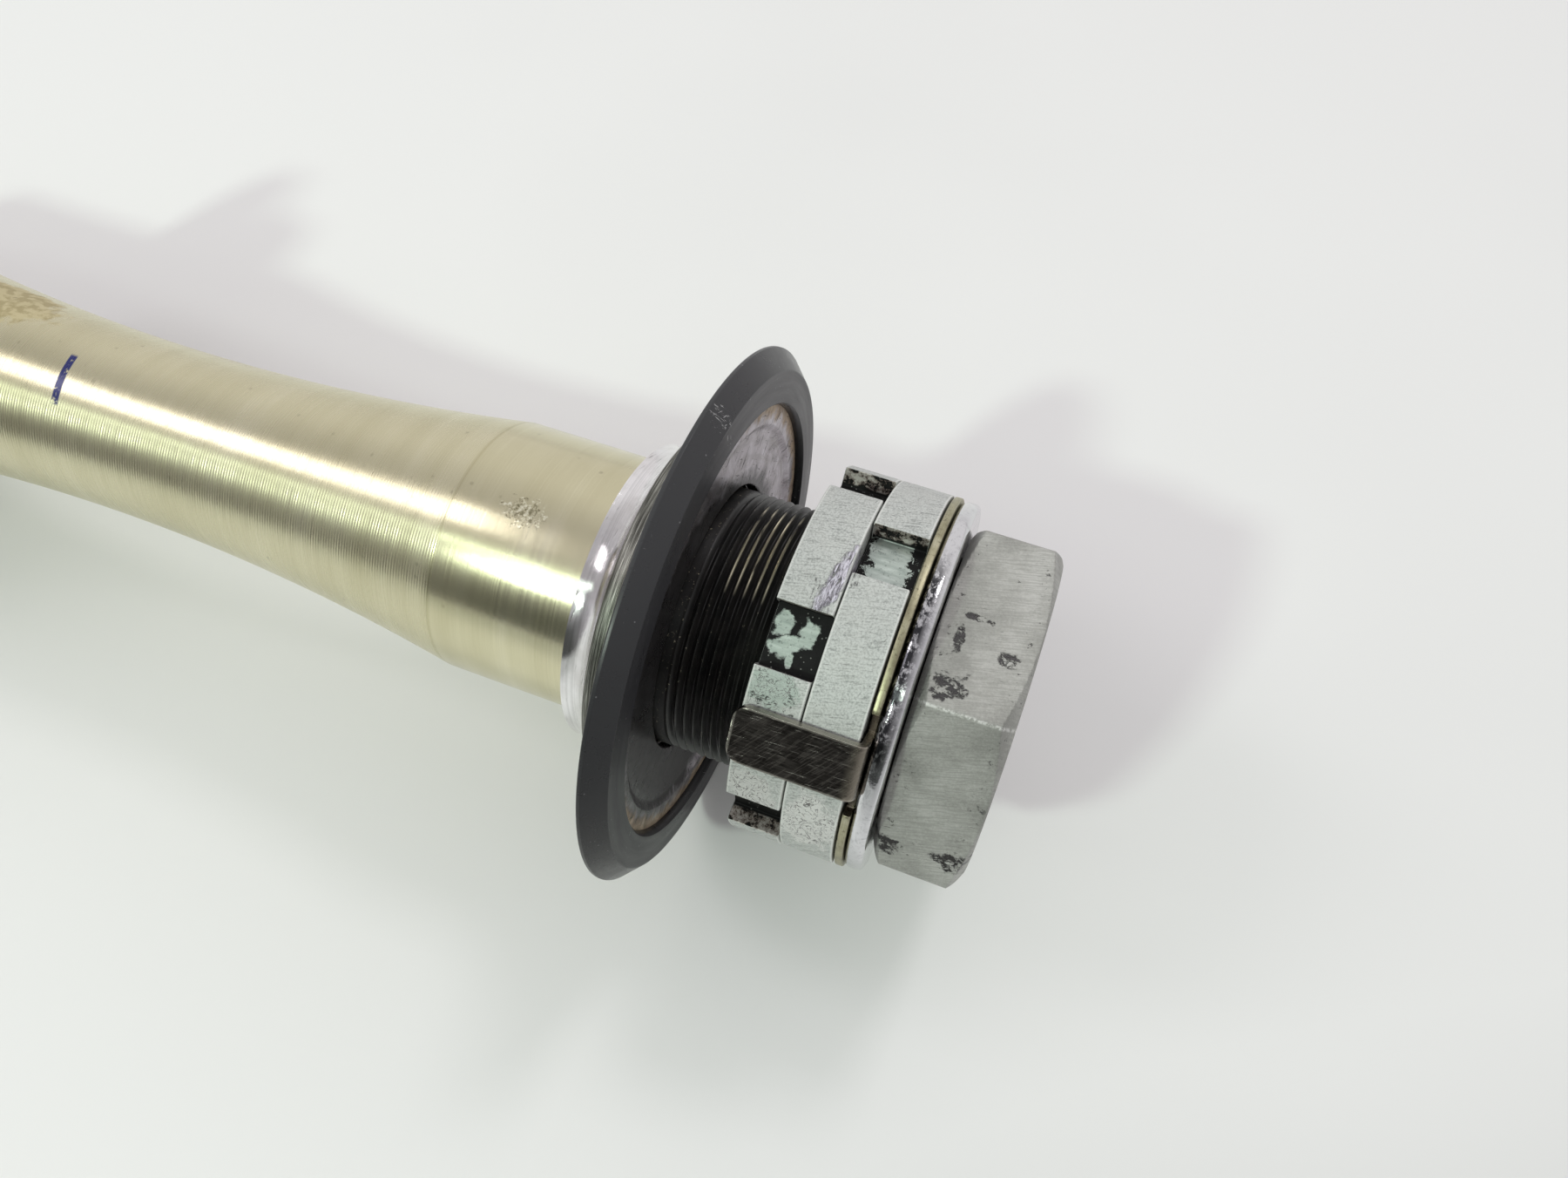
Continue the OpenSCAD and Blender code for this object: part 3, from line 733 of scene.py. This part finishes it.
def nut_look():
    look = Look("nut_matte_grey", Specular_IOR_Level=0.4)
    low, high, _ = span("stem_nut")
    grain = look.noise(4.0, detail=4, rough=0.7)
    cloud = look.noise(0.2, detail=4)
    wipe = look.hairlines(*on_side(-20, 14), 3.5, 0.16, 0.5, 5.0)
    base = look.ramp(look.math("MULTIPLY_ADD", grain, 0.4, look.both(cloud, 0.6)),
                     (0.38, (0.29, 0.29, 0.27)), (0.5, (0.39, 0.39, 0.365)),
                     (0.62, (0.49, 0.49, 0.465)))
    base = look.mix(look.both(wipe, 0.4), base, (0.27, 0.27, 0.25))
    rubbed = look.noise(0.9, look.stretched(1.0, 1.4, 1.4, 2), 6, 0.75, 0.6)
    marks = look.both(look.fit(rubbed, 0.655, 0.68),
                      look.fit(look.noise(0.17, look.stretched(1, 1, 1, 9), 2), 0.5, 0.6))
    for x, angle, half_x, half_across in ((28.0, -9.0, 0.5, 1.5), (28.5, -25.4, 1.6, 1.3),
                                          (32.8, -11.8, 0.9, 0.8), (29.4, -1.0, 1.4, 0.35),
                                          (27.2, -84.0, 1.8, 0.9), (33.6, -82.0, 1.6, 1.0)):
        spot = look.patch(RIM + x, angle, half_x, half_across, 0.9, 0.9, x)
        marks = look.either(marks, look.both(spot, look.fit(rubbed, 0.44, 0.50)))
    at_edge = look.either(look.near(look.x, low + 1.2, 0.5, 0.8),
                          look.near(look.x, high - 1.0, 0.4, 0.7))
    edge_wear = look.both(at_edge, look.fit(look.noise(1.1, detail=6, rough=0.75), 0.60, 0.64))
    fine_lines = look.hairlines(*on_side(-20, 8), 2.5, 0.14, 0.30, 3.0)
    marks = look.either(marks, look.either(look.both(edge_wear, 0.8),
                                           look.both(fine_lines, 0.7)))
    base = look.mix(marks, base, (0.03, 0.028, 0.028))
    across, side = look.sideways(NUT_CORNER)
    chips = look.both(look.both(look.near(across, 0, 0.07, 0.18), side),
                      look.fit(look.noise(1.6, detail=5, rough=0.8), 0.44, 0.54))
    base = look.mix(look.both(chips, 0.65), base, (0.80, 0.80, 0.78))
    rough = look.blend(marks, look.fit(grain, 0.3, 0.7, 0.46, 0.58), 0.32)
    look.bump((grain, 0.018), (look.flip(marks), 0.04), (wipe, 0.006))
    return look.out(Base_Color=base, Roughness=rough,
                    Metallic=look.fit(marks, 0.0, 1.0, 0.3, 0.2))


def cage_look():
    look = Look("cage_pressed_brass", Metallic=1.0)
    cloud = look.noise(0.6, detail=5)
    fine = look.noise(1.0, look.streaks(8.0, 6.0, 3.0), 3)
    base = look.ramp(cloud, (0.3, (0.24, 0.16, 0.06)), (0.7, (0.62, 0.48, 0.24)))
    look.bump((fine, 0.01), (cloud, 0.03))
    return look.out(Base_Color=base, Roughness=look.fit(cloud, 0.3, 0.7, 0.2, 0.38))


def table_look():
    look = Look("table_pale", Specular_IOR_Level=0.35)
    from_rim = look.math("SUBTRACT", look.x, RIM)
    # painted light and shade: the floor is darker towards -Y and +X, lighter towards +Y and -X
    painted_light_slope = look.math("MULTIPLY_ADD", from_rim, -0.6, look.y)
    cloud = look.math("MULTIPLY_ADD", look.noise(0.004, detail=3), 0.4,
                      look.fit(painted_light_slope, -55, 30, 0.0, 0.6))
    base = look.ramp(cloud, (0.2, (0.58, 0.58, 0.58)), (0.8, (0.85, 0.85, 0.845)))
    look.bump((look.noise(0.6, detail=3), 0.01))
    return look.out(Base_Color=base, Roughness=look.fit(cloud, 0.3, 0.7, 0.42, 0.5))


# ---------------------------------------------------------------- pieces
def race_outline():
    """The race from its upper face at 0 to its small end, and its ball track's centre."""
    length, track, hollow = 8.2, 4.0, 3.4
    a, b = Vector((-length, TRACK_SMALL_R)), Vector((track - length, BAND_R - 0.3))
    half = (b - a).length / 2
    way = (b - a).normalized()
    centre = (a + b) / 2 + Vector((-way.y, way.x)) * math.sqrt(hollow**2 - half**2)
    start = math.atan2(a.y - centre.y, a.x - centre.x)
    end = math.atan2(b.y - centre.y, b.x - centre.x)
    arc = [(centre.x + hollow * math.cos(start + (end - start) * k / 24),
            centre.y + hollow * math.sin(start + (end - start) * k / 24)) for k in range(25)]
    end_face = [(-length, PRESS_BORE), (-length, TRACK_SMALL_R - 0.05)]
    band = rounded([(track - length + 0.1, BAND_R - 0.12, 0),
                    (track - length + 0.3, BAND_R, 0), (0, BAND_R, 0.35),
                    (0, PRESS_BORE, 0.3)])
    return end_face + arc + band, centre


def seal_outline():
    """The rubber of a cover: a rim with a sealing lip, round the insert."""
    return rounded([
        (-0.4, 24.9, 0), (1.35, 24.9, 0), (1.85, 25.0, 0), (2.1, 25.25, 0),
        (2.1, 28.8, 0.25), (0.25, 30.8, 0.12), (-0.2, 30.8, 0.18), (-0.75, 27.2, 0.3),
        (-1.9, 25.9, 0.15), (-1.9, 25.2, 0.2), (-1.1, 24.6, 0.2), (-1.1, 23.5, 0.1),
        (-0.4, 23.5, 0)])


def insert_outline(hole):
    """The dished steel insert of a cover."""
    return rounded([
        (-0.9, hole, 0.1), (-0.9, 22.8, 0.5), (-0.4, 23.4, 0.4), (-0.4, 24.88, 0),
        (1.1, 24.88, 0), (1.1, 22.6, 0.35), (0.6, 21.8, 0.8), (0.6, hole, 0.35)])


def stem_piece(material):
    """The tube, with a helical thread cut into its upper end."""
    waist = WAIST_TO - WAIST_FROM
    drop = SEAT_R - WAIST_R
    arc_r = ((waist / 2) ** 2 + drop**2) / (2 * drop)
    outline = rounded([
        (TUBE_LOW, STAND_BORE + 1, 0), (TUBE_LOW, SEAT_R - 1, 0.2), (TUBE_LOW + 1, SEAT_R, 0.3),
        (0, SEAT_R, 0.3), (0, SHOULDER_R, 0.35), (SHOULDER_T, SHOULDER_R, 0.35),
        (SHOULDER_T, SEAT_R, 0.2), (WAIST_FROM, SEAT_R, 0)])
    steps = 96
    for k in range(1, steps):
        d = waist * (k / steps - 0.5)
        outline.append((WAIST_FROM + waist / 2 + d, WAIST_R + arc_r - math.sqrt(arc_r**2 - d**2)))
    outline.append((WAIST_TO, SEAT_R))
    length = THREAD_TO - THREAD_FROM
    rows = round(length / THREAD_PITCH * 10)
    for k in range(rows + 1):
        outline.append((THREAD_FROM + length * k / rows, SEAT_R))
    outline += rounded([
        (TUBE_HIGH, SEAT_R - 1, 0.2), (TUBE_HIGH, TOP_BORE + 1, 0.1),
        (THREAD_TO, TOP_BORE, 0), (WAIST_TO, TOP_BORE, 0), (WAIST_TO, TUBE_BORE, 0.2),
        (TUBE_LOW + STAND_DEPTH, TUBE_BORE, 0.2), (TUBE_LOW + STAND_DEPTH, STAND_BORE, 0.2),
        (TUBE_LOW + 1, STAND_BORE, 0)])

    def threaded(x, r, a):
        if r < SEAT_R - 0.01 or not THREAD_FROM <= x <= THREAD_TO:
            return r
        turn = (x / THREAD_PITCH + a / TURN) % 1.0
        wave = abs(2 * turn - 1)
        depth = min(1.0, max(0.0, 1.25 * wave - 0.13))
        lead_in = min(1.0, (x - THREAD_FROM) / THREAD_PITCH)
        return r - THREAD_DEPTH * depth * lead_in

    return lathe("stem_tube_detailed", outline, [material], 224, threaded)


def nut_piece(material):
    """The hexagon nut: flats and coned ends blended into slightly soft edges."""
    low, high, _ = span("stem_nut")
    face_r = NUT_FLATS / 2 - 0.35
    cone = math.tan(math.radians(25))
    ends = [0.0, 0.06, 0.15, 0.3, 0.45, 0.6, 0.75, 0.9, 1.05, 1.2, 1.35, 1.5, 1.7, 2.0, 2.5, 3.5]
    outline = [(low + 0.5, NUT_BORE), (low, NUT_BORE + 0.5), (low, face_r - 0.6),
               (low, face_r - 0.15)]
    outline += [(low + 0.02 + d, face_r + (d + 0.02) / cone) for d in ends]
    outline += [(high - 0.02 - d, face_r + (d + 0.02) / cone) for d in reversed(ends)]
    outline += [(high, face_r - 0.15), (high, face_r - 0.6), (high, NUT_BORE + 0.5),
                (high - 0.5, NUT_BORE)]

    def soft_min(a, b, soft=0.05):
        return min(a, b) - soft * math.log1p(math.exp(-abs(a - b) / soft))

    def hexagon(x, r, a):
        if r < face_r:
            return r
        turn = (a - math.radians(NUT_CORNER)) % (TURN / 6) - TURN / 12
        corner = NUT_FLATS / 2 / math.cos(TURN / 12) - 0.1
        return soft_min(soft_min(NUT_FLATS / 2 / math.cos(turn), corner), r)

    return lathe("stem_nut_detailed", outline, [material], 720, hexagon)


def claw_piece(name, angle, x_tip, x_sheet, materials):
    """One claw: from the sheet, round the bend and along the ring nuts to its tip."""
    thick = SHEET_T
    inner = RING_R + 0.25
    bend = 0.3
    middle = bend + thick / 2
    root_z = RELIEF_FLOOR - 0.1
    bend_x, bend_z = x_sheet - bend, inner - bend
    path = [(x_sheet + thick / 2, root_z, 0), (x_sheet + thick / 2, bend_z - 0.6, 0)]
    for k in range(9):
        a = math.pi / 2 * k / 8
        path.append((bend_x + middle * math.cos(a), bend_z + middle * math.sin(a), a))
    straight = bend_x - x_tip
    tip_round = 1.5
    spots = [0.15, 0.35, 0.55, 0.72]
    spots += [1 - tip_round / straight * (1 - math.sin(math.pi / 2 * k / 8)) for k in range(9)]
    for share in spots:
        path.append((bend_x - straight * share, inner + thick / 2, math.pi / 2))
    columns = 10
    c, s = math.cos(math.radians(angle)), math.sin(math.radians(angle))
    points, faces = [], []
    for x, z, a in path:
        short = max(0.0, x_tip + tip_round - x)
        half = CLAW_W / 2 - tip_round + math.sqrt(max(0.0, tip_round**2 - short**2))
        for side in (-1, 1):
            for k in range(columns + 1):
                y = half * (2 * k / columns - 1)
                px = x + side * thick / 2 * math.cos(a)
                pz = z + side * thick / 2 * math.sin(a)
                points.append((px, y * c + pz * s, -y * s + pz * c))
    row = 2 * (columns + 1)
    for i in range(len(path) - 1):
        for k in range(columns):
            for side in (0, columns + 1):
                faces.append((i * row + side + k, i * row + side + k + 1,
                              (i + 1) * row + side + k + 1, (i + 1) * row + side + k))
        for k in (0, columns):
            faces.append((i * row + k, (i + 1) * row + k,
                          (i + 1) * row + columns + 1 + k, i * row + columns + 1 + k))
    for i in (0, len(path) - 1):
        for k in range(columns):
            faces.append((i * row + k, i * row + k + 1,
                          i * row + columns + 2 + k, i * row + columns + 1 + k))
    obj = mesh_object(name, points, faces, materials, [1] * len(faces))
    return bevelled(obj, 0.12, 50)


def lock_washer_piece(materials):
    """The flat ring with its relief notches, and the two claws."""
    low, high, _ = span("lock_washer")
    sheet = high - SHEET_T
    slots = [(a, CLAW_W + 2 * RELIEF_W) for a in (CLAW_ANGLE, CLAW_ANGLE + 180)]
    ring = slotted_ring("ring", sheet, high, RING_R, [(high, LOOSE_BORE), (sheet, LOOSE_BORE)],
                        slots, RELIEF_FLOOR, materials)
    bevelled(ring, 0.12)
    claws = [claw_piece(f"claw_{i}", CLAW_ANGLE + 180 * i, low, sheet, materials)
             for i in range(2)]
    return joined("lock_washer_detailed", [ring] + claws)


def ring_nut_piece(name, node, first_slot, materials, recessed=False):
    """A ring nut with spanner slots, and with or without a recess in its upper face."""
    low, high, _ = span(node)
    bore = [(high, NUT_BORE), (low, NUT_BORE)]
    if recessed:
        floor = high - RECESS_DEPTH
        bore = [(high, RECESS_R), (floor, RECESS_R), (floor, NUT_BORE), (low, NUT_BORE)]
    ring = slotted_ring(name, low, high, RING_R, bore, even_slots(first_slot, SLOT_COUNT, SLOT_W),
                        SLOT_FLOOR, materials)
    return bevelled(ring, 0.22)


def ball_piece(material, centre):
    """The balls on the lower race's track."""
    work = bmesh.new()
    x = LOWER_RIM + RACE_INSET - centre.x
    for k in range(BALL_COUNT):
        a = TURN * k / BALL_COUNT
        made = bmesh.ops.create_icosphere(work, subdivisions=4, radius=BALL_R * MM)
        place = Vector((x, centre.y * math.sin(a), centre.y * math.cos(a))) * MM
        bmesh.ops.translate(work, verts=made["verts"], vec=place)
    mesh = bpy.data.meshes.new("lower_balls_detailed")
    work.to_mesh(mesh)
    work.free()
    mesh.materials.append(material)
    mesh.shade_smooth()
    return add_object("lower_balls_detailed", mesh)


def keep(piece, body, node):
    """Puts a piece on its body, in a CAD node's place, and hides that node."""
    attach(piece, body)
    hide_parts(node)


def build_pieces():
    steel, rubber, insert = race_look(), rubber_look(), insert_look()
    chrome, ring_face = chrome_look(), ring_nut_look()
    keep(stem_piece(stem_look()), "stem", "stem_tube")
    race, track_centre = race_outline()
    upper = [(RIM - RACE_INSET + x, r) for x, r in race]
    lower = [(LOWER_RIM + RACE_INSET - x, r) for x, r in race]
    keep(lathe("upper_race_detailed", upper, [steel]), "stem", "upper_inner_race")
    keep(lathe("lower_race_detailed", lower, [steel]), "stem", "lower_inner_race")
    keep(lathe("cover_rubber_detailed", facing_up(seal_outline()), [rubber], 320),
         "dust_cover", "dust_cover_rubber")
    keep(lathe("cover_insert_detailed", facing_up(insert_outline(COVER_HOLE)), [insert]),
         "dust_cover", "dust_cover_insert")
    keep(lathe("lower_rubber_detailed", facing_down(seal_outline()), [rubber], 320),
         "stem", "lower_seal_rubber")
    keep(lathe("lower_insert_detailed", facing_down(insert_outline(PRESS_BORE)), [insert]),
         "stem", "lower_seal_insert")
    keep(ring_nut_piece("lower_ring_nut_detailed", "lower_ring_nut", LOWER_SLOTS,
                        [ring_face, slot_look("slot_black_paint", 13.3, NO_BARE_BAND, SPLATS)],
                        recessed=True),
         "lower_ring_nut", "lower_ring_nut")
    keep(ring_nut_piece("upper_ring_nut_detailed", "upper_ring_nut", UPPER_SLOTS,
                        [ring_face, slot_look("slot_worn_paint", 19.4, 2.0)]),
         "upper_ring_nut", "upper_ring_nut")
    low, high, _ = span("rubber_washer")
    keep(lathe("rubber_washer_detailed", rounded([
        (low, LOOSE_BORE, 0.1), (low, RUBBER_WASHER_R, 0.2), (high, RUBBER_WASHER_R, 0.2),
        (high, LOOSE_BORE, 0.1)]), [rubber]), "rubber_washer", "rubber_washer")
    keep(lock_washer_piece([lock_washer_look(), claw_look()]),
         "lock_washer", "lock_washer")
    low, high, washer_r = span("plain_washer")
    keep(lathe("plain_washer_detailed", rounded([
        (low, LOOSE_BORE, 0.2), (low, washer_r, 0.75), (high, washer_r, 0.75),
        (high, LOOSE_BORE, 0.2)], 8), [chrome], 320),
        "plain_washer", "plain_washer")
    keep(nut_piece(nut_look()), "stem_nut", "stem_nut")
    keep(ball_piece(chrome, track_centre), "lower_bearing", "lower_balls")
    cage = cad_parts["lower_ball_cage"]
    cage.data.materials.clear()
    cage.data.materials.append(cage_look())


# ---------------------------------------------------------------- stage
def build_stage():
    floor_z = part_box("dust_cover_rubber")[0].z
    bpy.ops.mesh.primitive_plane_add(size=4, location=(RIM * MM, 0, floor_z - 0.00002))
    floor = bpy.context.object
    floor.name = "table"
    floor.data.materials.append(table_look())


def area_light(name, height, shift, distance, length, width, watts, colour):
    """A panel that lies along the axis. Height is its angle from +Z towards +Y."""
    data = bpy.data.lights.new(name, "AREA")
    data.shape = "RECTANGLE"
    data.size, data.size_y = length, width
    data.energy = watts
    data.color = colour
    lamp = add_object(name, data)
    a = math.radians(height)
    away = Vector((shift, math.sin(a), math.cos(a)))
    lamp.location = Vector(((RIM + 10) * MM, 0, 0)) + away * distance
    lamp.rotation_euler = (-a, 0, 0)


def build_lights():
    """Lamps and panels in a room that is pale at the back and dark low down in front."""
    world = bpy.data.worlds.new("soft_studio")
    world.use_nodes = True
    tree = world.node_tree

    def node(kind, inputs=(), **settings):
        return add_node(tree, kind, inputs, **settings).outputs

    way = node("SeparateXYZ", {0: node("TexCoord")["Generated"]})
    front = node("MapRange", {"Value": way[1], "From Min": -0.25, "From Max": -0.9})[0]
    low = node("MapRange", {"Value": way[2], "From Min": 0.75, "From Max": 0.35})[0]
    dark = node("Math", {0: front, 1: low}, operation="MULTIPLY")[0]
    back = node("MapRange", {"Value": way[1], "From Min": 0.1, "From Max": 0.6})[0]
    pale = node("Mix", {0: back, 6: (0.55, 0.535, 0.55, 1), 7: (0.82, 0.80, 0.80, 1)},
                data_type="RGBA")[2]
    colour = node("Mix", {0: dark, 6: pale, 7: (0.10, 0.105, 0.10, 1)},
                  data_type="RGBA")[2]
    background = tree.nodes["Background"]
    tree.links.new(colour, background.inputs["Color"])
    background.inputs["Strength"].default_value = 1.0
    scene.world = world
    green, lilac = (0.84, 1.0, 0.85), (1.0, 0.955, 0.985)
    area_light("front_lamp", -46.5, -0.40, 1.1, 0.13, 0.08, 4.3, green)
    area_light("front_panel", -36, -0.40, 1.1, 1.8, 0.09, 1.3, green)
    area_light("top_panel", -11, -1.24, 1.1, 1.25, 0.33, 5.2, lilac)
    area_light("back_lamp", 31, 0.15, 1.1, 0.22, 0.18, 1.6, lilac)


def build_camera():
    data = bpy.data.cameras.new("camera")
    data.sensor_width = 36
    data.lens = CAMERA_LENS
    data.clip_start = 0.005
    camera = add_object("camera", data)
    camera.location = (Vector((RIM, 0, 0)) + Vector(CAMERA_PLACE)) * MM
    camera.rotation_euler = Euler((math.radians(90 - CAMERA_ELEVATION), 0,
                                   math.radians(CAMERA_AZIMUTH)))
    scene.camera = camera


build_camera()
build_pieces()
build_stage()
build_lights()
scene.view_settings.view_transform = "Standard"
